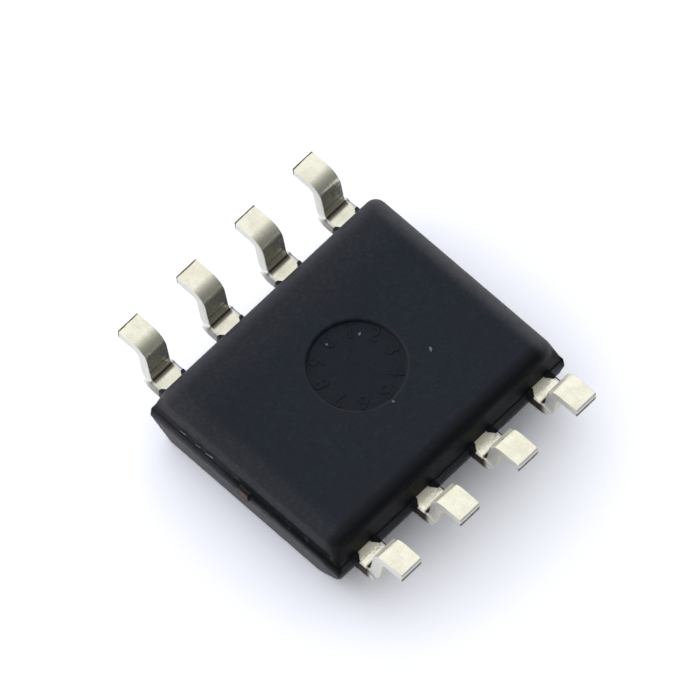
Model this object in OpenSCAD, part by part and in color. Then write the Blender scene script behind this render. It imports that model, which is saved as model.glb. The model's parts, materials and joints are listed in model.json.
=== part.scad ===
// Eight-lead small-outline integrated circuit, lying on its marked face with its feet up.
// X runs along the two rows of leads, Y across them, and Z out of the underside.
// The origin is the middle of the marked face, which is the lowest face here.
// All lengths are in millimetres and all angles in degrees.

/* [Moulded body] */
// Length of the body along the rows, at the parting line
body_length = 4.95; // [4.8:0.01:5.2]
// Width of the body across the rows, at the parting line
body_width = 4; // [3.86:0.01:4.06]
// Height of the body, from the marked face to the underside
body_height = 1.45; // [1.38:0.01:1.55]
// Height of the parting line above the marked face
parting_height = 0.75; // [0.7:0.01:0.8]
// Slope of the moulded sides, from upright
draft_angle = 9.8; // [5:0.1:12]
// Corner radius of the underside and of the marked face
corner_radius = 0.2; // [0.18:0.01:0.3]
// Rounding along the rim of the underside
rim_radius = 0.18; // [0.06:0.01:0.18]
// Rounding along the rim of the marked face
marked_rim_radius = 0.06; // [0.02:0.01:0.1]
// Corner radius of the body at the parting line
parting_radius = 0.02; // [0.02:0.01:0.1]
// Height of the upright land at the parting line
land_height = 0.02; // [0.01:0.01:0.04]
// How far the side steps in, from the band beside the lead frame to the upper half
band_step = 0.015; // [0.01:0.005:0.03]
// Leg of the 45 degree bevel along the pin-one edge of the marked face
bevel_leg = 0.46; // [0.3:0.02:0.5]
// Diameter of the round mark that the ejector pin leaves in the underside
ejector_diameter = 1.53; // [1.2:0.01:1.8]
// Depth of the ejector mark
ejector_depth = 0.07; // [0.04:0.01:0.12]
// Distance of the ejector mark from the middle, both ways
ejector_shift = 0.055; // [0:0.005:0.1]
// Diameter of the pin-one dimple in the marked face
dimple_diameter = 0.6; // [0.4:0.05:0.8]
// Depth of the pin-one dimple
dimple_depth = 0.08; // [0.04:0.01:0.12]
// Distance from the dimple's middle to both body sides next to it
dimple_inset = 1.0; // [0.95:0.05:1.2]

/* [Leads] */
// Distance from one lead to the next
pitch = 1.27; // [1.22:0.01:1.32]
// Overall span across both rows, from tip to tip
lead_span = 6; // [5.9:0.02:6.2]
// Width of a lead
lead_width = 0.43; // [0.35:0.01:0.49]
// Thickness of the lead frame
lead_thickness = 0.2; // [0.17:0.01:0.23]
// Height of the feet above the underside of the body
stand_off = 0.25; // [0.18:0.01:0.3]
// Flat length of a foot, from its tip to the heel bend
foot_length = 0.33; // [0.3:0.01:0.4]
// Leg of the 45 degree break along the cut tip of a foot
tip_break = 0.02; // [0.01:0.005:0.05]
// How far the cut tip of a foot slants back across its thickness
tip_slant = 0.01; // [0:0.01:0.05]
// Inside radius of both bends
bend_radius = 0.1; // [0.08:0.01:0.14]
// Lean of the lead's riser, from upright
riser_lean = 8; // [4:1:12]

/* [Dam-bar ends and resin webs] */
// How far each cut end of the dam bar stands out from the side of its lead
stub_reach = 0.05; // [0.03:0.01:0.1]
// Distance from the body to the cut dam-bar end
stub_gap = 0.1; // [0.06:0.01:0.12]
// Angle of the first bend that the cut dam-bar end covers
stub_turn = 50; // [30:5:60]
// How far the resin web creeps over the edge of the lead at its root
web_creep = 0.08; // [0.04:0.01:0.12]
// Thickness of the resin web above the face of the lead
web_film = 0.015; // [0.01:0.005:0.03]

/* [Lead frame inside the body] */
// Length of the die paddle along the rows
paddle_length = 2.8; // [2.5:0.1:3.0]
// Width of the die paddle across the rows
paddle_width = 1.9; // [1.8:0.05:2.0]
// Offset of the die paddle from the lead plane, towards the underside
paddle_offset = 0.18; // [0.1:0.01:0.22]
// Width of the tie bars at both ends of the paddle
tie_width = 0.22; // [0.18:0.02:0.4]
// Length of the level part of a tie bar beside the paddle
tie_level = 0.2; // [0.1:0.02:0.3]
// Length of the sloping part of a tie bar
tie_slope = 0.36; // [0.3:0.02:0.4]
// How far the cut end of a tie bar stands out of the body
tie_reach = 0.04; // [0.02:0.01:0.06]
// Gap between the paddle and the tips of the bond fingers
finger_gap = 0.2; // [0.15:0.01:0.25]
// Width of a bond finger's tip
finger_width = 0.7; // [0.5:0.02:0.8]
// Length of a bond finger's wide tip
finger_length = 0.5; // [0.4:0.01:0.52]
// Length of the taper between a bond finger's tip and its lead
finger_taper = 0.15; // [0.1:0.01:0.18]
// Distance that the outer leads' fingers reach towards the middle of the row
finger_jog = 0.32; // [0.2:0.01:0.4]

/* [Die and bond wires] */
// Length of the silicon die along the rows
die_length = 1.7; // [1.6:0.05:2.0]
// Width of the silicon die across the rows
die_width = 1.3; // [1.1:0.05:1.4]
// Thickness of the silicon die
die_thickness = 0.24; // [0.2:0.01:0.28]
// Thickness of the die-attach layer
attach_thickness = 0.03; // [0.02:0.01:0.05]
// Width of die attach that shows around the die
attach_margin = 0.06; // [0.02:0.01:0.08]
// Distance between the outermost bond pads, along the rows
pad_row_length = 1.35; // [1:0.05:1.4]
// Distance from the middle of a bond pad to the edge of the die
pad_inset = 0.1; // [0.08:0.01:0.14]
// Distance from a bond finger's tip to the end of its wire
bond_inset = 0.18; // [0.12:0.01:0.24]
// Diameter of a bond wire
wire_diameter = 0.03; // [0.025:0.005:0.04]
// Height of a bond wire's loop
loop_height = 0.17; // [0.12:0.01:0.2]
// Diameter of the ball bond on the die
ball_diameter = 0.08; // [0.07:0.01:0.1]
// Height of the ball bond on the die
ball_height = 0.03; // [0.02:0.005:0.04]

/* [Hidden] */
row_count = 4;
lead_count = 2 * row_count;
row_middle = (row_count + 1) / 2;    // the middle of a row, counted in leads
facet_count = 48;        // facets of the true round forms
rim_facets = 24;         // facets around a rolled rim
corner_facets = 32;      // facets around the body's rounded corners
wire_sides = 8;          // flats around a bond wire
past = 1;                // how far a cutting shape runs past what it cuts

seat_height = body_height + stand_off;              // the feet's solder faces
frame_floor = parting_height;                       // the lead frame's lower face
frame_top = frame_floor + lead_thickness;
tip_reach = lead_span / 2;
heel_reach = tip_reach - foot_length;               // where the flat foot meets its bend
bend_sum = 2 * bend_radius + lead_thickness;        // both bends' middle radii together
bend_angle = 90 - riser_lean;
riser_rise = seat_height - frame_floor - bend_sum - lead_thickness;
riser_length = (riser_rise + bend_sum * sin(riser_lean)) / cos(riser_lean);
shoulder_reach = heel_reach - bend_sum * cos(riser_lean) - riser_length * sin(riser_lean);
stub_start = body_width / 2 + stub_gap;

paddle_floor = frame_floor + paddle_offset;
attach_floor = paddle_floor - attach_thickness;
die_face = attach_floor - die_thickness;            // the bonded face, towards the marked face
finger_tip = paddle_width / 2 + finger_gap;

// Path of a bond wire: share of the span, and share of the loop's height
loop_curve = [[0, 0.1], [0, 0.6], [0.03, 0.86], [0.1, 1], [0.24, 0.98], [0.5, 0.72], [0.8, 0.28], [1, 0]];

// Leads 1 to 4 stand at -Y and count towards -X; leads 5 to 8 stand at +Y and count back.
function row_side(n) = n <= row_count ? -1 : 1;
function row_place(n) = row_side(n) * (n - row_middle - (n <= row_count ? 0 : row_count)) * pitch;

// A finger of an outer lead jogs towards the middle of its row.
function jog(n) = abs(row_place(n)) > pitch ? -sign(row_place(n)) * finger_jog : 0;

function pad_point(n) = [
    row_place(n) / (row_middle - 1) / pitch * pad_row_length / 2,
    row_side(n) * (die_width / 2 - pad_inset)
];
function finger_point(n) = [row_place(n) + jog(n), row_side(n) * (finger_tip + bond_inset)];

// Part of a ring between two angles less than 180 degrees apart
module arc_band(inner, width, from, to) {
    outer = inner + width;
    middle = (from + to) / 2;
    intersection() {
        difference() {
            circle(r = outer, $fn = facet_count);
            circle(r = inner, $fn = facet_count);
        }
        polygon(concat([[0, 0]], [for (a = [from, middle, to]) 2 * outer * [cos(a), sin(a)]]));
    }
}

// Side view of the level shoulder from start, and of the first bend over turn degrees
module shoulder_profile(start, turn) {
    translate([start, frame_floor])
        square([shoulder_reach - start, lead_thickness]);
    translate([shoulder_reach, frame_top + bend_radius])
        arc_band(bend_radius, lead_thickness, -90, turn - 90);
}

// Side view of a whole lead: Y to the right, Z up
module lead_profile() {
    shoulder_profile(finger_tip, bend_angle);
    translate([shoulder_reach, frame_top + bend_radius])
        rotate(-riser_lean)
            translate([bend_radius, 0])
                square([lead_thickness, riser_length]);
    translate([heel_reach, seat_height - lead_thickness - bend_radius])
        arc_band(bend_radius, lead_thickness, 90, 90 + bend_angle);
    polygon([
        [heel_reach, seat_height - lead_thickness], [tip_reach - tip_slant, seat_height - lead_thickness],
        [tip_reach, seat_height - tip_break], [tip_reach - tip_break, seat_height],
        [heel_reach, seat_height]
    ]);
}

// Top view of a lead: X along the row, Y outwards, with its bond finger moved by shift
module lead_outline(shift) {
    pad_end = finger_tip + finger_length;
    neck = pad_end + finger_taper;
    half = lead_width / 2;
    tip_half = finger_width / 2;
    polygon([
        [half, tip_reach], [half, neck], [shift + tip_half, pad_end], [shift + tip_half, finger_tip],
        [shift - tip_half, finger_tip], [shift - tip_half, pad_end], [-half, neck], [-half, tip_reach]
    ]);
}

// Sets a side view upright across the row, width wide
module across_row(width) {
    translate([-width / 2, 0, 0])
        rotate([90, 0, 90])
            linear_extrude(width)
                children();
}

// Puts a shape, drawn for a lead at X 0 that points to +Y, at the place of lead n
module at_lead(n) {
    translate([row_place(n), 0, 0])
        mirror([0, row_side(n) < 0 ? 1 : 0, 0])
            children();
}

module lead(n) {
    color([0.86, 0.85, 0.79])
        at_lead(n) {
            intersection() {
                linear_extrude(seat_height + past)
                    lead_outline(jog(n));
                across_row(2 * pitch)
                    lead_profile();
            }
            across_row(lead_width + 2 * stub_reach)
                shoulder_profile(stub_start, stub_turn);
        }
}

// Resin that is left between the body and the cut dam bar, on both sides of a lead's root
module resin_webs() {
    half = lead_width / 2;
    root = body_width / 2 - 2 * stub_gap;
    for (side = [0, 1])
        mirror([side, 0, 0])
            translate([0, 0, frame_floor])
                linear_extrude(lead_thickness + web_film)
                    polygon([
                        [half - web_creep, root], [half + stub_reach, root], [half + stub_reach, stub_start],
                        [half, stub_start], [half - web_creep, body_width / 2]
                    ]);
}

// Side view of the paddle with its tie bars: X to the right, Z up
module paddle_profile() {
    level_end = paddle_length / 2 + tie_level;
    slope_end = level_end + tie_slope;
    bar_end = body_length / 2 + tie_reach;
    lower = [
        [-bar_end, frame_floor], [-slope_end, frame_floor], [-level_end, paddle_floor],
        [level_end, paddle_floor], [slope_end, frame_floor], [bar_end, frame_floor]
    ];
    upper = [for (i = [len(lower) - 1 : -1 : 0]) lower[i] + [0, lead_thickness]];
    polygon(concat(lower, upper));
}

module die_paddle() {
    color([0.72, 0.45, 0.3])
        intersection() {
            linear_extrude(seat_height) {
                square([paddle_length, paddle_width], center = true);
                square([body_length + 2 * tie_reach, tie_width], center = true);
            }
            translate([0, paddle_width / 2, 0])
                rotate([90, 0, 0])
                    linear_extrude(paddle_width)
                        paddle_profile();
        }
}

module die_attach() {
    length = die_length + 2 * attach_margin;
    width = die_width + 2 * attach_margin;
    color([0.75, 0.76, 0.78])
        translate([-length / 2, -width / 2, attach_floor])
            cube([length, width, attach_thickness]);
}

module silicon_die() {
    color([0.35, 0.38, 0.45])
        translate([-die_length / 2, -die_width / 2, die_face])
            cube([die_length, die_width, die_thickness]);
}

function unit(v) = v / norm(v);
function left_of(v) = [-v[1], v[0]];

// Where the sides of a wire lie about its path, in the path's own plane and per unit of radius.
// The last ring is level, because it lies flat on the bond finger.
function mitre(path, i) =
    let (before = left_of(unit(path[max(i, 1)] - path[max(i, 1) - 1])))
    i == 0 ? before
    : i == len(path) - 1 ? [1 / before[0], 0]
    : let (after = left_of(unit(path[i + 1] - path[i]))) (before + after) / (1 + before * after);

// A round wire from a ball bond on the die to its wedge bond on a finger
module wire_loop(start, end) {
    span = norm(end - start);
    along = (end - start) / span;
    drop = frame_floor - die_face;
    path = [for (p = loop_curve) [p[0] * span, die_face + p[0] * drop - p[1] * loop_height]];
    rings = len(path);
    points = [
        for (i = [0 : rings - 1], k = [0 : wire_sides - 1])
            let (
                a = 360 * k / wire_sides,
                side = sin(a) * wire_diameter / 2,
                flat = path[i] + cos(a) * wire_diameter / 2 * mitre(path, i)
            )
            [
                start[0] + along[0] * flat[0] - along[1] * side,
                start[1] + along[1] * flat[0] + along[0] * side,
                flat[1]
            ]
    ];
    walls = [
        for (i = [0 : rings - 2], k = [0 : wire_sides - 1])
            let (next = (k + 1) % wire_sides)
            [
                i * wire_sides + k, (i + 1) * wire_sides + k,
                (i + 1) * wire_sides + next, i * wire_sides + next
            ]
    ];
    first_cap = [for (k = [0 : wire_sides - 1]) k];
    last_cap = [for (k = [wire_sides - 1 : -1 : 0]) (rings - 1) * wire_sides + k];
    polyhedron(points, concat(walls, [first_cap, last_cap]));
}

module bond_wire(n) {
    start = pad_point(n);
    color([0.83, 0.66, 0.3]) {
        wire_loop(start, finger_point(n));
        translate([start[0], start[1], die_face - ball_height])
            cylinder(d = ball_diameter, h = ball_height, $fn = facet_count);
    }
}

// Everything that the moulding compound flows around
module moulded_in() {
    die_paddle();
    die_attach();
    silicon_die();
    for (n = [1 : lead_count]) {
        lead(n);
        bond_wire(n);
    }
}

// Repeats a shape at the four corners of the body, as far in as inset
module at_corners(inset) {
    for (x_side = [-1, 1], y_side = [-1, 1])
        translate([x_side * (body_length / 2 - inset), y_side * (body_width / 2 - inset), 0])
            children();
}

// The corners of one face, rolled at its rim with a radius, that stands rise above or below level
module rolled_corners(level, rise, base_inset, radius) {
    inset = base_inset + (abs(rise) - radius) * tan(draft_angle) + corner_radius;
    at_corners(inset)
        translate([0, 0, level + rise - sign(rise) * radius])
            rotate_extrude($fn = corner_facets)
                intersection() {
                    translate([corner_radius - radius, 0])
                        circle(r = radius, $fn = rim_facets);
                    translate([0, -radius])
                        square([corner_radius, 2 * radius]);
                }
}

// Small upright corners that end at level, at the top of a band
module band_corners(level, inset) {
    at_corners(inset + band_step)
        translate([0, 0, level - land_height])
            cylinder(r = band_step, h = land_height, $fn = corner_facets);
}

// The moulded block: one half below the parting line with the band beside the lead frame,
// and the other half standing on that band with a small step
module moulded_block() {
    hull() {
        at_corners(parting_radius)
            translate([0, 0, parting_height - land_height / 2])
                cylinder(r = parting_radius, h = land_height, $fn = corner_facets);
        rolled_corners(parting_height, -parting_height, 0, marked_rim_radius);
        band_corners(frame_top, band_step);
    }
    hull() {
        band_corners(frame_top, 2 * band_step);
        rolled_corners(frame_top, body_height - frame_top, 2 * band_step, rim_radius);
    }
}

module pin_one_bevel() {
    face_edge = body_width / 2 - parting_height * tan(draft_angle);
    translate([-body_length / 2 - past, -face_edge, 0])
        rotate([90, 0, 90])
            linear_extrude(body_length + 2 * past)
                polygon([[-past, -past], [bevel_leg + past, -past], [-past, bevel_leg + past]]);
}

module package_body() {
    color([0.16, 0.17, 0.19])
        difference() {
            union() {
                moulded_block();
                for (n = [1 : lead_count])
                    at_lead(n)
                        resin_webs();
            }
            pin_one_bevel();
            translate([ejector_shift, ejector_shift, body_height - ejector_depth])
                cylinder(d = ejector_diameter, h = ejector_depth + past, $fn = facet_count);
            translate([body_length / 2 - dimple_inset, dimple_inset - body_width / 2, -past])
                cylinder(d = dimple_diameter, h = dimple_depth + past, $fn = facet_count);
            moulded_in();
        }
}

package_body();
die_paddle();
die_attach();
silicon_die();
for (n = [1 : lead_count]) lead(n);
for (n = [1 : lead_count]) bond_wire(n);
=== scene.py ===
import json
import math

import bmesh
import bpy
from mathutils import Matrix, Vector, noise


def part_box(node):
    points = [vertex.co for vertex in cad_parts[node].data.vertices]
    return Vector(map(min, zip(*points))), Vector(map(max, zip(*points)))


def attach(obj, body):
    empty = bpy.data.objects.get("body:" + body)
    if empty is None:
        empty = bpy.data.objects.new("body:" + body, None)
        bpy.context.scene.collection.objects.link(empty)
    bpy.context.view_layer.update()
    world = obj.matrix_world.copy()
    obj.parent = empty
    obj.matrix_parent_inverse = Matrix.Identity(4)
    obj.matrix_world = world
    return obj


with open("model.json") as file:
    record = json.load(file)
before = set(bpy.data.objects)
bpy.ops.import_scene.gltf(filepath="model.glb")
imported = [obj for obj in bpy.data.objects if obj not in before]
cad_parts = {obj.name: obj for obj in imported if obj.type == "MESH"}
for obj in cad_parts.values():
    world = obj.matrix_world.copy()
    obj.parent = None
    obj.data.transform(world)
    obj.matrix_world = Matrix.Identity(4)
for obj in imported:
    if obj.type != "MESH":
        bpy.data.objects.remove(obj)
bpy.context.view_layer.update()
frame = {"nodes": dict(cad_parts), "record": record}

MM = 0.001
LEADS = [f"lead_{n}" for n in range(1, 9)]


def box_mm(node):
    """The lowest and highest corners of a CAD node, in millimetres."""
    low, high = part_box(node)
    return low / MM, high / MM


# Places that the materials and the small pieces follow, in millimetres, read from the frame
BODY_TOP_CORNER = box_mm("package_body")[1]
LEAD_LOW, LEAD_HIGH = box_mm("lead_8")
PITCH = box_mm("lead_2")[0].x - box_mm("lead_3")[0].x
BODY_END = BODY_TOP_CORNER.x
UNDERSIDE = BODY_TOP_CORNER.z
TIP = LEAD_HIGH.y
SEAT = LEAD_HIGH.z
FRAME_FLOOR = LEAD_LOW.z

# Sizes that a box doesn't tell, in millimetres, as in the part's source
LEAD_THICKNESS = 0.2
HALF_LEAD = 0.215
BODY_SIDE = 2.0
EJECTOR_PLACE = 0.055
EJECTOR_RADIUS = 0.765
EJECTOR_DEPTH = 0.07

FRAME_TOP = FRAME_FLOOR + LEAD_THICKNESS
EJECTOR_FLOOR = UNDERSIDE - EJECTOR_DEPTH

# Places along a lead, in millimetres outward from the middle of the body
LOWER_BEND_START = 2.22
LOWER_BEND_END = 2.30
RISER_INSIDE = 2.37
UPPER_BEND_MIDDLE = 2.50

# ---------------------------------------------------------------- node helpers


class Nodes:
    """Writes into a node tree. The methods that make a value return its output socket."""

    def __init__(self, tree):
        self.tree = tree

    def node(self, kind, **settings):
        made = self.tree.nodes.new(kind)
        for key, value in settings.items():
            setattr(made, key, value)
        return made

    def link(self, source, target):
        self.tree.links.new(source, target)

    def feed(self, value, target):
        """Links a socket to the target, or sets a number or a colour on it."""
        if isinstance(value, bpy.types.NodeSocket):
            self.link(value, target)
        elif isinstance(value, tuple):
            target.default_value = (*value, 1)
        else:
            target.default_value = value

    def math(self, operation, a, b=0.0, clamp=False):
        made = self.node("ShaderNodeMath", operation=operation, use_clamp=clamp)
        self.feed(a, made.inputs[0])
        self.feed(b, made.inputs[1])
        return made.outputs[0]

    def chain(self, operation, *values):
        """One operation over several values, from left to right."""
        result = values[0]
        for value in values[1:]:
            result = self.math(operation, result, value)
        return result

    def times(self, *values):
        return self.chain("MULTIPLY", *values)

    def plus(self, *values):
        return self.chain("ADD", *values)

    def minus(self, a, b):
        return self.math("SUBTRACT", a, b)

    def most(self, *values):
        return self.chain("MAXIMUM", *values)

    def unsigned(self, value):
        return self.math("ABSOLUTE", value)

    def ramp(self, value, low, high, from_value=0.0, to_value=1.0, smooth=True):
        """Goes from one value at low to the other at high, and keeps them past the ends."""
        interpolation = "SMOOTHSTEP" if smooth else "LINEAR"
        made = self.node("ShaderNodeMapRange", clamp=True, interpolation_type=interpolation)
        self.feed(value, made.inputs["Value"])
        self.feed(low, made.inputs["From Min"])
        self.feed(high, made.inputs["From Max"])
        self.feed(from_value, made.inputs["To Min"])
        self.feed(to_value, made.inputs["To Max"])
        return made.outputs["Result"]

    def fade(self, value, reach, strength=1.0):
        """Goes from 0 at the first number of reach to strength at its second, which may be lower."""
        return self.ramp(value, *reach, 0.0, strength)

    def ragged(self, value, unevenness, depth):
        """A coordinate that a noise shifts by up to depth, for an uneven edge."""
        return self.plus(value, self.times(unevenness, depth))

    def mix(self, share, a, b):
        made = self.node("ShaderNodeMix", data_type="RGBA")
        self.feed(share, made.inputs["Factor"])
        self.feed(a, made.inputs[6])
        self.feed(b, made.inputs[7])
        return made.outputs[2]


class Shader(Nodes):
    """The node tree of a new material, with the place on the object in millimetres."""

    def __init__(self, name):
        self.material = bpy.data.materials.new(name)
        self.material.use_nodes = True
        super().__init__(self.material.node_tree)
        self.surface = self.tree.nodes["Principled BSDF"]
        scaled = self.node("ShaderNodeVectorMath", operation="SCALE")
        scaled.inputs["Scale"].default_value = 1 / MM
        self.link(self.node("ShaderNodeTexCoord").outputs["Object"], scaled.inputs[0])
        self.place = scaled.outputs["Vector"]
        parts = self.node("ShaderNodeSeparateXYZ")
        self.link(self.place, parts.inputs[0])
        self.x, self.y, self.z = parts.outputs

    def stretched(self, x, y, z):
        """The place multiplied along each axis, so that a noise comes out drawn into streaks."""
        made = self.node("ShaderNodeVectorMath", operation="MULTIPLY")
        self.link(self.place, made.inputs[0])
        made.inputs[1].default_value = (x, y, z)
        return made.outputs["Vector"]

    def noise(self, scale, detail=3.0, rough=0.55, where=None):
        made = self.node("ShaderNodeTexNoise")
        self.link(where or self.place, made.inputs["Vector"])
        made.inputs["Scale"].default_value = scale
        made.inputs["Detail"].default_value = detail
        made.inputs["Roughness"].default_value = rough
        return made.outputs["Fac"]

    def cells(self, scale):
        made = self.node("ShaderNodeTexVoronoi")
        self.link(self.place, made.inputs["Vector"])
        made.inputs["Scale"].default_value = scale
        return made.outputs["Distance"]

    def bump(self, *layers):
        """Layers of (height socket, depth in mm), one over the other."""
        before = None
        for height, depth in layers:
            made = self.node("ShaderNodeBump")
            made.inputs["Strength"].default_value = 1.0
            made.inputs["Distance"].default_value = depth * MM
            self.link(height, made.inputs["Height"])
            if before:
                self.link(before, made.inputs["Normal"])
            before = made.outputs["Normal"]
        self.link(before, self.surface.inputs["Normal"])

    def set(self, **values):
        for key, value in values.items():
            self.feed(value, self.surface.inputs[key.replace("_", " ")])


# ---------------------------------------------------------------- moulding compound


def plain_resin(s, mottle, speckle):
    """Blue-black resin, with slow clouds and grey grains of filler."""
    blue_black = (0.0130, 0.0196, 0.0292)
    grey_black = (0.0186, 0.0240, 0.0346)
    violet_black = (0.0195, 0.0202, 0.0312)
    filler = (0.0400, 0.0430, 0.0540)
    cloud = s.noise(1.1, 3, 0.5)
    tone = s.mix(s.ramp(mottle, 0.34, 0.68), blue_black, grey_black)
    tone = s.mix(s.ramp(cloud, 0.42, 0.62, 0.0, 0.7), tone, violet_black)
    return s.mix(s.ramp(speckle, 0.50, 0.72, 0.0, 0.30), tone, filler)


def worn_resin(s, tone, mottle, speckle):
    """Painted sheen towards both ends and the +Y row, painted highlights palest on the rims at +X and +Y,
    painted shade down the -Y side.
    """
    painted_sheen_grey = (0.0410, 0.0410, 0.0500)
    painted_sheen_grain = (0.0560, 0.0560, 0.0660)
    painted_rim_highlight = (0.1160, 0.1160, 0.1270)
    painted_side_shade = (0.0030, 0.0032, 0.0040)
    sheen_to_row = s.fade(s.y, (BODY_SIDE - 1.10, BODY_SIDE - 0.30), 0.40)
    sheen_to_ends = s.fade(s.unsigned(s.x), (BODY_END - 0.50, BODY_END - 0.20), 0.55)
    # Painted sheen: the resin is drawn paler, with paler grains, towards the +Y row and both ends.
    painted_sheen = s.math("ADD", sheen_to_row, sheen_to_ends, clamp=True)
    tone = s.mix(painted_sheen, tone, painted_sheen_grey)
    tone = s.mix(s.times(painted_sheen, s.ramp(speckle, 0.44, 0.70, 0.0, 0.8)), tone, painted_sheen_grain)
    # Painted shade: the resin towards the -Y side is drawn nearly black.
    shade_on_low_side = s.fade(s.y, (0.42 - BODY_SIDE, 0.26 - BODY_SIDE), 0.8)
    tone = s.mix(shade_on_low_side, tone, painted_side_shade)
    # Painted highlight: the rims at +X and +Y near the underside are drawn pale grey.
    end_rim_highlight = s.fade(s.x, (BODY_END - 0.42, BODY_END - 0.13))
    row_rim_highlight = s.fade(s.y, (BODY_SIDE - 0.40, BODY_SIDE - 0.20), 0.40)
    near_underside = s.fade(s.z, (UNDERSIDE - 0.24, UNDERSIDE - 0.10))
    on_rim = s.times(s.most(end_rim_highlight, row_rim_highlight), near_underside, s.ramp(mottle, 0.25, 0.6, 0.7, 1.0))
    return s.mix(on_rim, tone, painted_rim_highlight)


def torn_band(s, unevenness):
    """How strongly a darker, rougher band is drawn beside the lead frame: in patches at both ends, most of
    all at -Y.
    """
    above = s.fade(s.z, (FRAME_FLOOR + 0.05, FRAME_FLOOR + 0.13))
    below = s.fade(s.z, (FRAME_TOP + 0.20, FRAME_TOP + 0.13))
    at_ends = s.fade(s.unsigned(s.x), (BODY_END - 0.09, BODY_END - 0.05))
    in_patches = s.ramp(unevenness, 0.30, 0.44)
    less_at_high_y = s.ramp(s.y, -0.2, 0.6, 1.0, 0.45)
    return s.times(above, below, at_ends, in_patches, less_at_high_y)


def dust_on_end(s, unevenness):
    """How strongly the -X end below the lead frame is painted paler, more so further down: painted reflection
    of the pale floor.
    """
    at_low_x = s.fade(s.x, (0.20 - BODY_END, 0.12 - BODY_END))
    below_frame = s.fade(s.z, (FRAME_FLOOR + 0.01, FRAME_FLOOR - 0.02))
    more_further_down = s.ramp(s.z, FRAME_FLOOR, 0.1, 0.45, 1.0)
    in_patches = s.ramp(unevenness, 0.28, 0.72, 0.60, 1.0)
    return s.times(at_low_x, below_frame, more_further_down, in_patches, 0.8)


def marked_resin(s, tone):
    """Painted highlights on stretches of the ejector mark's edge, towards +X and -Y and at -X, and its darker
    floor.
    """
    painted_rim_light_grey = (0.0350, 0.0360, 0.0440)
    floor_black = (0.0075, 0.0105, 0.0145)
    offset_x = s.minus(s.x, EJECTOR_PLACE)
    offset_y = s.minus(s.y, EJECTOR_PLACE)
    radius = s.math("SQRT", s.plus(s.math("POWER", offset_x, 2.0), s.math("POWER", offset_y, 2.0)))
    rightward = s.math("DIVIDE", s.minus(offset_x, offset_y), math.sqrt(2) * EJECTOR_RADIUS)
    stretches = s.most(s.fade(rightward, (0.20, 0.65)), s.fade(offset_x, (-0.50, -0.62)))
    on_edge = s.fade(s.unsigned(s.minus(radius, EJECTOR_RADIUS)), (0.055, 0.025))
    above_floor = s.fade(s.z, (UNDERSIDE - 0.08, UNDERSIDE - 0.06))
    # Painted highlight: stretches of the mark's edge are drawn paler grey.
    tone = s.mix(s.times(stretches, on_edge, above_floor, 0.6), tone, painted_rim_light_grey)
    inside = s.fade(radius, (EJECTOR_RADIUS + 0.01, EJECTOR_RADIUS - 0.06))
    sunk = s.fade(s.z, (UNDERSIDE - 0.03, UNDERSIDE - 0.055))
    return s.mix(s.times(inside, sunk, 0.40), tone, floor_black)


def moulding_compound():
    """Black filled epoxy with the fine texture of a spark-eroded mould."""
    s = Shader("moulding_compound")
    band_black = (0.0070, 0.0078, 0.0095)
    painted_reflection_grey = (0.1280, 0.1280, 0.1460)
    mottle = s.noise(7.5, 4, 0.62)
    speckle = s.noise(17, 3, 0.6)
    unevenness = s.noise(6.0, 4, 0.65)
    band = torn_band(s, unevenness)
    tone = worn_resin(s, plain_resin(s, mottle, speckle), mottle, speckle)
    # A darker, rougher band beside the lead frame at both ends.
    tone = s.mix(band, tone, band_black)
    # Painted reflection: the -X end below the lead frame is drawn grey, for the floor's light on it.
    tone = s.mix(dust_on_end(s, unevenness), tone, painted_reflection_grey)
    tone = marked_resin(s, tone)
    rough = s.math("ADD", s.ramp(mottle, 0.3, 0.7, 0.40, 0.52), s.times(band, 0.45), clamp=True)
    s.set(Base_Color=tone, Roughness=rough)
    s.surface.inputs["Specular IOR Level"].default_value = 0.13
    s.bump((s.noise(48, 4, 0.65), 0.0028), (s.cells(34), 0.0016), (mottle, 0.0030))
    return s.material


# ---------------------------------------------------------------- tinned leads


def cut_faces(s, unevenness, beside, outward):
    """Where the bare metal shows: on the lower part of the tips and their burr, and on the stubs."""
    at_tip = s.fade(s.ragged(outward, unevenness, 0.014), (TIP - 0.014, TIP - 0.006))
    below_tin = s.ramp(s.ragged(s.z, unevenness, 0.05), SEAT - 0.045, SEAT - 0.115, 0.10, 1.0)
    burr = s.fade(s.ragged(s.y, unevenness, 0.035), (TIP - 0.020, TIP - 0.010))
    past_lead = s.fade(beside, (HALF_LEAD + 0.020, HALF_LEAD + 0.034))
    above_tin = s.fade(s.ragged(s.z, unevenness, -0.05), (FRAME_FLOOR - 0.03, FRAME_FLOOR + 0.01))
    on_shoulder = s.fade(outward, (RISER_INSIDE + 0.03, LOWER_BEND_END - 0.02))
    less_at_high_y = s.ramp(s.y, -1.0, 1.0, 1.0, 0.5)
    tips = s.most(s.times(at_tip, below_tin), burr)
    stubs = s.times(past_lead, above_tin, on_shoulder, less_at_high_y)
    return tips, stubs


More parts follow.
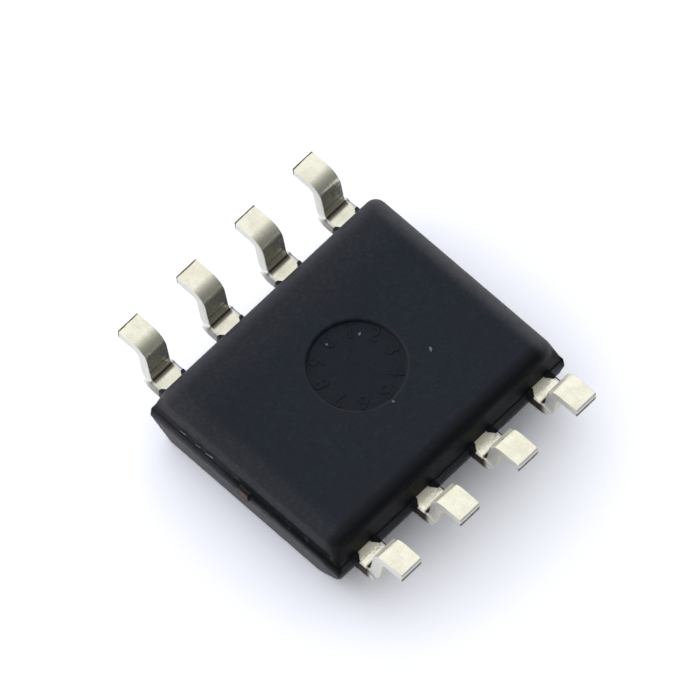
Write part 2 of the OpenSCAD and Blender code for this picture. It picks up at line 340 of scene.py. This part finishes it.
def dull_tin(s, inner, sheared, outward):
    """How dull the tin is, and where on the -Y row it is rough as well: at the heel and the root."""
    upper_riser = s.times(
        s.fade(s.z, (FRAME_TOP + 0.32, FRAME_TOP + 0.42)),
        s.fade(s.z, (FRAME_TOP + 0.68, FRAME_TOP + 0.58)),
    )
    fold = s.times(
        inner,
        s.fade(outward, (LOWER_BEND_END - 0.015, LOWER_BEND_END)),
        s.fade(s.z, (FRAME_TOP + 0.17, FRAME_TOP + 0.08)),
    )
    heel = s.times(
        s.fade(s.y, (-UPPER_BEND_MIDDLE, 0.07 - UPPER_BEND_MIDDLE)),
        s.fade(s.y, (0.05 - LOWER_BEND_END, -0.02 - LOWER_BEND_END)),
        s.fade(s.z, (SEAT - 0.24, SEAT - 0.17)),
    )
    root = s.times(
        s.fade(s.y, (-0.11 - BODY_SIDE, -0.04 - BODY_SIDE)),
        s.fade(s.y, (0.20 - BODY_SIDE, 0.10 - BODY_SIDE)),
    )
    faint = s.times(s.most(sheared, upper_riser), 0.35)
    dull = s.most(faint, s.times(fold, 0.85), heel, s.times(root, 0.8))
    return dull, s.most(heel, root)


def tinned_lead():
    """Satin tin over copper alloy, with bare brown metal where the frame was cut."""
    s = Shader("tinned_lead")
    bright_tin = (0.95, 0.93, 0.77)
    warm_tin = (0.89, 0.865, 0.69)
    streak_tin = (0.76, 0.73, 0.56)
    # Painted light: near-white tin for the lead sides and the -Y tips, for the bright floor they mirror.
    painted_side_light = (1.0, 1.0, 0.97)
    # Painted shade for the inner fold of the lower bend.
    fold_shade = (0.20, 0.168, 0.125)
    dark_copper = (0.040, 0.026, 0.014)
    light_copper = (0.24, 0.185, 0.120)
    # Bare copper of the stubs, drawn darker than the tips partly as painted shade beside the body.
    shaded_stub_copper = (0.080, 0.056, 0.040)
    within_pitch = s.minus(s.math("FRACT", s.math("DIVIDE", s.x, PITCH)), 0.5)
    beside = s.unsigned(s.times(within_pitch, PITCH))
    outward = s.unsigned(s.y)
    blotch = s.noise(4.4, 4, 0.6)
    streak = s.noise(8, 3, 0.5, where=s.stretched(3.4, 0.5, 0.5))
    unevenness = s.noise(9, 3, 0.6)

    tips, stubs = cut_faces(s, unevenness, beside, outward)
    bare = s.most(tips, stubs)
    off_sides = s.fade(beside, (HALF_LEAD - 0.004, HALF_LEAD - 0.012))
    inner = s.times(s.fade(outward, (RISER_INSIDE + 0.03, RISER_INSIDE)), off_sides)
    lower_bend = s.times(
        s.fade(outward, (LOWER_BEND_START - 0.025, LOWER_BEND_START + 0.025)),
        s.fade(outward, (LOWER_BEND_END + 0.010, LOWER_BEND_END - 0.010)),
        s.fade(s.z, (FRAME_TOP + 0.07, FRAME_TOP + 0.04)),
    )
    sides = s.fade(beside, (HALF_LEAD - 0.010, HALF_LEAD - 0.002))
    sheared = s.most(sides, s.fade(s.y, (0.035 - TIP, 0.012 - TIP)))

    tone = s.mix(s.ramp(blotch, 0.36, 0.66), bright_tin, warm_tin)
    tone = s.mix(s.ramp(streak, 0.5, 0.75, 0.0, 0.3), tone, streak_tin)
    # Painted shade: the inside of the lower bend is drawn dark brown.
    tone = s.mix(s.times(inner, lower_bend, 0.9), tone, fold_shade)
    # Painted reflection: the lead sides and the -Y tips are drawn near white.
    tone = s.mix(s.times(sheared, 0.9), tone, painted_side_light)
    copper = s.mix(s.ramp(s.noise(18, 3), 0.35, 0.65), dark_copper, light_copper)
    # The stubs' bare copper, darker partly as painted shade.
    copper = s.mix(stubs, copper, shaded_stub_copper)
    tone = s.mix(bare, tone, copper)

    dull, rough_zones = dull_tin(s, inner, sheared, outward)
    polish = s.ramp(blotch, 0.3, 0.7, 0.17, 0.29)
    rough = s.plus(polish, s.times(sheared, 0.28), s.times(rough_zones, 0.22), s.times(bare, 0.25))
    metal = s.ramp(s.most(bare, dull), 0.0, 1.0, 0.9, 0.5)
    s.set(Base_Color=tone, Metallic=metal, Roughness=rough)
    crease = s.fade(s.ragged(s.z, unevenness, 0.03), (FRAME_TOP + 0.20, FRAME_TOP + 0.245))
    grain = s.noise(60, 3, 0.6)
    s.bump((grain, 0.0010), (s.cells(24), 0.0010), (streak, 0.0012), (s.times(inner, crease), -0.010))
    return s.material


# ---------------------------------------------------------------- other materials


def copper_frame():
    """Copper alloy of the lead frame, with resin smeared over the cut ends of its tie bars."""
    s = Shader("copper_frame")
    at_end = s.fade(s.unsigned(s.x), (BODY_END - 0.03, BODY_END - 0.01))
    from_middle = s.unsigned(s.minus(s.z, (FRAME_FLOOR + FRAME_TOP) / 2))
    by_edge = s.fade(s.ragged(from_middle, s.noise(8, 3, 0.6), 0.06), (0.062, 0.078))
    by_side = s.fade(s.ragged(s.unsigned(s.y), s.noise(7, 3, 0.6), 0.08), (0.095, 0.115))
    smear = s.times(at_end, s.most(by_edge, by_side))
    inside = s.mix(s.ramp(s.noise(9, 3), 0.35, 0.65), (0.42, 0.24, 0.13), (0.20, 0.115, 0.065))
    cut = s.mix(s.ramp(s.noise(16, 3), 0.35, 0.65), (0.26, 0.080, 0.045), (0.12, 0.042, 0.028))
    tone = s.mix(smear, s.mix(at_end, inside, cut), (0.0060, 0.0064, 0.0074))
    rough = s.ramp(s.noise(18, 3), 0.3, 0.7, 0.38, 0.55)
    s.set(Base_Color=tone, Metallic=s.ramp(smear, 0.0, 1.0, 1.0, 0.0), Roughness=rough)
    s.bump((s.noise(28, 3), 0.003))
    return s.material


def gold_wire():
    """Drawn gold of the bond wires."""
    s = Shader("gold_wire")
    tone = s.mix(s.ramp(s.noise(30, 3), 0.35, 0.65), (0.90, 0.66, 0.28), (0.80, 0.55, 0.20))
    s.set(Base_Color=tone, Metallic=1.0, Roughness=s.ramp(s.noise(60, 3), 0.3, 0.7, 0.2, 0.35))
    s.bump((s.noise(90, 3), 0.001))
    return s.material


def silver_epoxy():
    """Grey epoxy full of silver flakes, under the die."""
    s = Shader("silver_epoxy")
    flakes = s.cells(60)
    tone = s.mix(s.ramp(flakes, 0.1, 0.5), (0.66, 0.66, 0.65), (0.42, 0.42, 0.43))
    s.set(Base_Color=tone, Metallic=0.5, Roughness=0.55)
    s.bump((flakes, 0.002))
    return s.material


def silicon():
    """Polished silicon with the blocks of a circuit."""
    s = Shader("silicon")
    blocks = s.noise(14, 1, 0.4, where=s.stretched(1.0, 1.6, 1.0))
    tone = s.mix(s.ramp(blocks, 0.45, 0.55, smooth=False), (0.11, 0.13, 0.2), (0.17, 0.16, 0.22))
    s.set(Base_Color=tone, Metallic=0.6, Roughness=0.22)
    s.bump((s.noise(90, 2), 0.0005))
    return s.material


def lint():
    """Pale dust that lies on the body."""
    s = Shader("lint")
    tone = s.mix(s.ramp(s.noise(30), 0.4, 0.6), (0.17, 0.27, 0.27), (0.09, 0.15, 0.16))
    s.set(Base_Color=tone, Roughness=0.8)
    s.bump((s.noise(80), 0.002))
    return s.material


def torn_resin():
    """The grey broken faces of resin flash."""
    s = Shader("torn_resin")
    tone = s.mix(s.ramp(s.noise(24), 0.4, 0.6), (0.26, 0.30, 0.31), (0.12, 0.14, 0.15))
    s.set(Base_Color=tone, Roughness=0.6)
    s.bump((s.noise(60), 0.003))
    return s.material


MATERIALS = {
    "moulding_compound": moulding_compound(),
    "tinned_lead": tinned_lead(),
    "copper_frame": copper_frame(),
    "silver_epoxy": silver_epoxy(),
    "silicon": silicon(),
    "gold_wire": gold_wire(),
}

# ---------------------------------------------------------------- the solids, dressed


def round_edges(node, name, width, segments, angle=0, group=""):
    """Rounds the edges sharper than angle, or those of a vertex group."""
    bevel = node.modifiers.new(name, "BEVEL")
    bevel.width = width * MM
    bevel.segments = segments
    bevel.limit_method = "VGROUP" if group else "ANGLE"
    bevel.angle_limit = math.radians(angle)
    bevel.vertex_group = group
    bevel.use_clamp_overlap = True
    bevel.harden_normals = False


def clean_mesh(node):
    """Joins the points that coincide, and the triangles that share a flat face."""
    weld = node.modifiers.new("weld", "WELD")
    weld.merge_threshold = 2e-7
    flat = node.modifiers.new("flat", "DECIMATE")
    flat.decimate_type = "DISSOLVE"
    flat.angle_limit = math.radians(0.5)


def smooth_shading(node, split_at=None):
    """Shades a node smoothly by its larger faces, apart from edges sharper than split_at."""
    for polygon in node.data.polygons:
        polygon.use_smooth = True
    if split_at:
        split = node.modifiers.new("split", "EDGE_SPLIT")
        split.split_angle = math.radians(split_at)
        split.use_edge_sharp = False
    normals = node.modifiers.new("normals", "WEIGHTED_NORMAL")
    normals.keep_sharp = False
    normals.weight = 50


def dress_nodes():
    """Gives every CAD node the material of its slot in the record."""
    slots = {row["node"]: row["material_slot"] for row in frame["record"]["subparts"]}
    for name, node in frame["nodes"].items():
        node.data.materials.clear()
        node.data.materials.append(MATERIALS[slots[name]])


def round_leads():
    for name in LEADS:
        lead = frame["nodes"][name]
        clean_mesh(lead)
        round_edges(lead, "bevel", width=0.024, segments=3, angle=50)
        smooth_shading(lead, split_at=38)


def round_body():
    """Rolls the edge of the ejector mark, then rounds the other sharp edges a little."""
    body = frame["nodes"]["package_body"]
    mark_rim = body.vertex_groups.new(name="mark_rim")
    middle = Vector((EJECTOR_PLACE, EJECTOR_PLACE)) * MM
    slack = 0.01
    on_rim = [
        point.index for point in body.data.vertices
        if point.co.z > (UNDERSIDE - slack) * MM
        and abs((point.co.xy - middle).length / MM - EJECTOR_RADIUS) < slack
    ]
    mark_rim.add(on_rim, 1.0, "REPLACE")
    clean_mesh(body)
    round_edges(body, "mark_rim", width=0.045, segments=4, group="mark_rim")
    round_edges(body, "bevel", width=0.012, segments=2, angle=40)
    smooth_shading(body)


dress_nodes()
round_leads()
round_body()

# ---------------------------------------------------------------- small pieces

DIGIT_COUNT = 10
DIGIT_RING = 0.60
DIGIT_SIZE = 0.34
DIGIT_RISE = 0.004
DIGIT_EDGE = 0.007
DIGIT_BOLD = 0.001
CRUMB_HEIGHT = 0.02
LINT_LIFT = 0.006
FLASH_INSET = 0.032


def add_piece(name, mesh, material):
    """Makes an object of a mesh in the row frame, riding on the one body."""
    made = bpy.data.objects.new(name, mesh)
    bpy.context.scene.collection.objects.link(made)
    mesh.materials.clear()
    mesh.materials.append(material)
    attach(made, "root")


def digit_mesh(digit):
    """One raised number, with its middle at the origin."""
    curve = bpy.data.curves.new(f"digit_{digit}", "FONT")
    curve.body = str(digit)
    curve.size = DIGIT_SIZE * MM
    curve.extrude = DIGIT_RISE * MM
    curve.bevel_depth = DIGIT_EDGE * MM
    curve.bevel_resolution = 1
    curve.offset = DIGIT_BOLD * MM
    curve.resolution_u = 3
    curve.align_x = "CENTER"
    curve.align_y = "CENTER"
    maker = bpy.data.objects.new(f"digit_{digit}", curve)
    bpy.context.scene.collection.objects.link(maker)
    bpy.context.view_layer.update()
    shown = maker.evaluated_get(bpy.context.evaluated_depsgraph_get())
    made = bpy.data.meshes.new_from_object(shown)
    bpy.data.objects.remove(maker)
    return made


def ring_of_digits():
    """Raised numbers 0 to 9 around the floor of the ejector mark, with their feet to its middle."""
    ring = bmesh.new()
    for digit in range(DIGIT_COUNT):
        number = digit_mesh(digit)
        spin = Matrix.Rotation(-math.tau * digit / DIGIT_COUNT, 4, "Z")
        number.transform(spin @ Matrix.Translation((0, DIGIT_RING * MM, 0)))
        ring.from_mesh(number)
        bpy.data.meshes.remove(number)
    bmesh.ops.remove_doubles(ring, verts=ring.verts, dist=1e-8)
    floor_middle = Vector((EJECTOR_PLACE, EJECTOR_PLACE, EJECTOR_FLOOR)) * MM
    bmesh.ops.translate(ring, verts=ring.verts, vec=floor_middle)
    mesh = bpy.data.meshes.new("ejector_digits")
    ring.to_mesh(mesh)
    ring.free()
    add_piece("ejector_digits", mesh, MATERIALS["moulding_compound"])


def crumb(name, place, size, turn, seed, material, rough=0.5):
    """An irregular crumb: a ball pushed in and out by noise, then stretched to size and turned."""
    coarse, fine, fine_share = 3.2, 8, 0.5
    drift = seed * Vector((3.1, 1.7, 0.9))
    shape = bmesh.new()
    bmesh.ops.create_icosphere(shape, subdivisions=3, radius=0.5)
    for vertex in shape.verts:
        lumps = noise.noise(vertex.co * coarse + drift)
        grains = noise.noise(vertex.co * fine + drift)
        vertex.co *= 1 + rough * (lumps + fine_share * grains)
    stretch = Matrix.Diagonal((*(Vector(size) * MM), 1))
    spin = Matrix.Rotation(math.radians(turn), 4, "Z")
    shape.transform(Matrix.Translation(Vector(place) * MM) @ spin @ stretch)
    for face in shape.faces:
        face.smooth = True
    mesh = bpy.data.meshes.new(name)
    shape.to_mesh(mesh)
    shape.free()
    add_piece(name, mesh, material)


def lint_specks():
    """Pale lint, two specks on the underside and two in the ejector mark."""
    pale = lint()
    specks = [
        (1.015, -0.580, UNDERSIDE, 0.085, 0.040, 60),
        (0.482, 0.404, EJECTOR_FLOOR, 0.055, 0.040, 20),
        (0.009, 0.643, EJECTOR_FLOOR, 0.050, 0.040, 80),
        (-0.017, -0.783, UNDERSIDE, 0.050, 0.035, 130),
    ]
    for n, (x, y, floor, length, width, turn) in enumerate(specks, 1):
        crumb(f"lint_{n}", (x, y, floor + LINT_LIFT), (length, width, CRUMB_HEIGHT), turn, n + 1, pale)


def flash_crumbs():
    """Torn resin flash along the parting line of the -X end."""
    grey = torn_resin()
    thickness, height, turn = 0.022, 0.03, 4
    crumbs = [(1.31, 1.03, 0.10), (0.99, 1.02, 0.09), (0.74, 1.035, 0.14)]
    for n, (y, z, length) in enumerate(crumbs, 1):
        place = (FLASH_INSET - BODY_END, y, z)
        crumb(f"flash_{n}", place, (thickness, length, height), turn, n + 10, grey, rough=0.7)


ring_of_digits()
lint_specks()
flash_crumbs()

# ---------------------------------------------------------------- floor, light and camera

# The floor's own colour, and what mirrors and the camera see of it
FLOOR_COLOUR = (0.86, 0.86, 0.87)
FLOOR_MIRRORED = (1.24, 1.24, 1.25)
FLOOR_SEEN = (1.67, 1.69, 1.80)
FLOOR_HALF = 1500

# The room brightens from -Y to the share of +Y where it is brightest, slowly at first
ROOM_TINT = (0.97, 0.975, 1.0)
DARKEST_Y = -1.0
BRIGHTEST_Y = 0.32
DARK_LEVEL = 0.18
BRIGHT_LEVEL = 1.07
SLOW_START = 1.8

# The camera's angles in degrees, its lens in millimetres, and its place in the row frame
AZIMUTH = math.radians(-44.037)
ELEVATION = math.radians(63.629)
ROLL = math.radians(-2.191)
TARGET = Vector((0.387, 0.533, 0.8)) * MM
DISTANCE = 200 * MM
LENS = 675.4
SENSOR_WIDTH = 36


def pale_floor():
    """A pale matt floor. The camera sees it as white, with only the close shadow left on it."""
    material = bpy.data.materials.new("pale_floor")
    material.use_nodes = True
    material.node_tree.nodes.clear()
    n = Nodes(material.node_tree)
    ray = n.node("ShaderNodeLightPath").outputs
    colour = n.mix(ray["Is Glossy Ray"], FLOOR_COLOUR, FLOOR_MIRRORED)
    colour = n.mix(ray["Is Camera Ray"], colour, FLOOR_SEEN)
    matt = n.node("ShaderNodeBsdfDiffuse")
    n.link(colour, matt.inputs["Color"])
    n.link(matt.outputs[0], n.node("ShaderNodeOutputMaterial").inputs["Surface"])
    half = FLOOR_HALF * MM
    mesh = bpy.data.meshes.new("floor")
    corners = [(-half, -half, 0), (half, -half, 0), (half, half, 0), (-half, half, 0)]
    mesh.from_pydata(corners, [], [(0, 1, 2, 3)])
    mesh.materials.append(material)
    floor = bpy.data.objects.new("floor", mesh)
    bpy.context.scene.collection.objects.link(floor)


def studio_world():
    """A white room whose -Y side is left dark. The camera itself sees plain white all round."""
    world = bpy.data.worlds.new("studio")
    bpy.context.scene.world = world
    world.use_nodes = True
    n = Nodes(world.node_tree)
    background = world.node_tree.nodes["Background"]
    background.inputs["Color"].default_value = (*ROOM_TINT, 1)
    direction = n.node("ShaderNodeSeparateXYZ")
    n.link(n.node("ShaderNodeTexCoord").outputs["Generated"], direction.inputs[0])
    share = n.ramp(direction.outputs["Y"], DARKEST_Y, BRIGHTEST_Y, smooth=False)
    room = n.ramp(n.math("POWER", share, SLOW_START), 0.0, 1.0, DARK_LEVEL, BRIGHT_LEVEL, smooth=False)
    to_camera = n.node("ShaderNodeLightPath").outputs["Is Camera Ray"]
    n.link(n.ramp(to_camera, 0.0, 1.0, room, 1.0, smooth=False), background.inputs["Strength"])


def photo_camera():
    """The photo's view, from far away."""
    flat = math.cos(ELEVATION)
    back = Vector((math.sin(AZIMUTH) * flat, -math.cos(AZIMUTH) * flat, math.sin(ELEVATION)))
    right = Vector((math.cos(AZIMUTH), math.sin(AZIMUTH), 0))
    up = back.cross(right)
    rolled_right = right * math.cos(ROLL) + up * math.sin(ROLL)
    rolled_up = up * math.cos(ROLL) - right * math.sin(ROLL)
    data = bpy.data.cameras.new("camera")
    data.sensor_width = SENSOR_WIDTH
    data.lens = LENS
    data.clip_start = 1 * MM
    data.clip_end = 10
    camera = bpy.data.objects.new("camera", data)
    bpy.context.scene.collection.objects.link(camera)
    turn = Matrix((rolled_right, rolled_up, back)).transposed().to_4x4()
    camera.matrix_world = Matrix.Translation(TARGET + back * DISTANCE) @ turn
    bpy.context.scene.camera = camera


pale_floor()
studio_world()
photo_camera()
bpy.context.scene.view_settings.view_transform = "Standard"
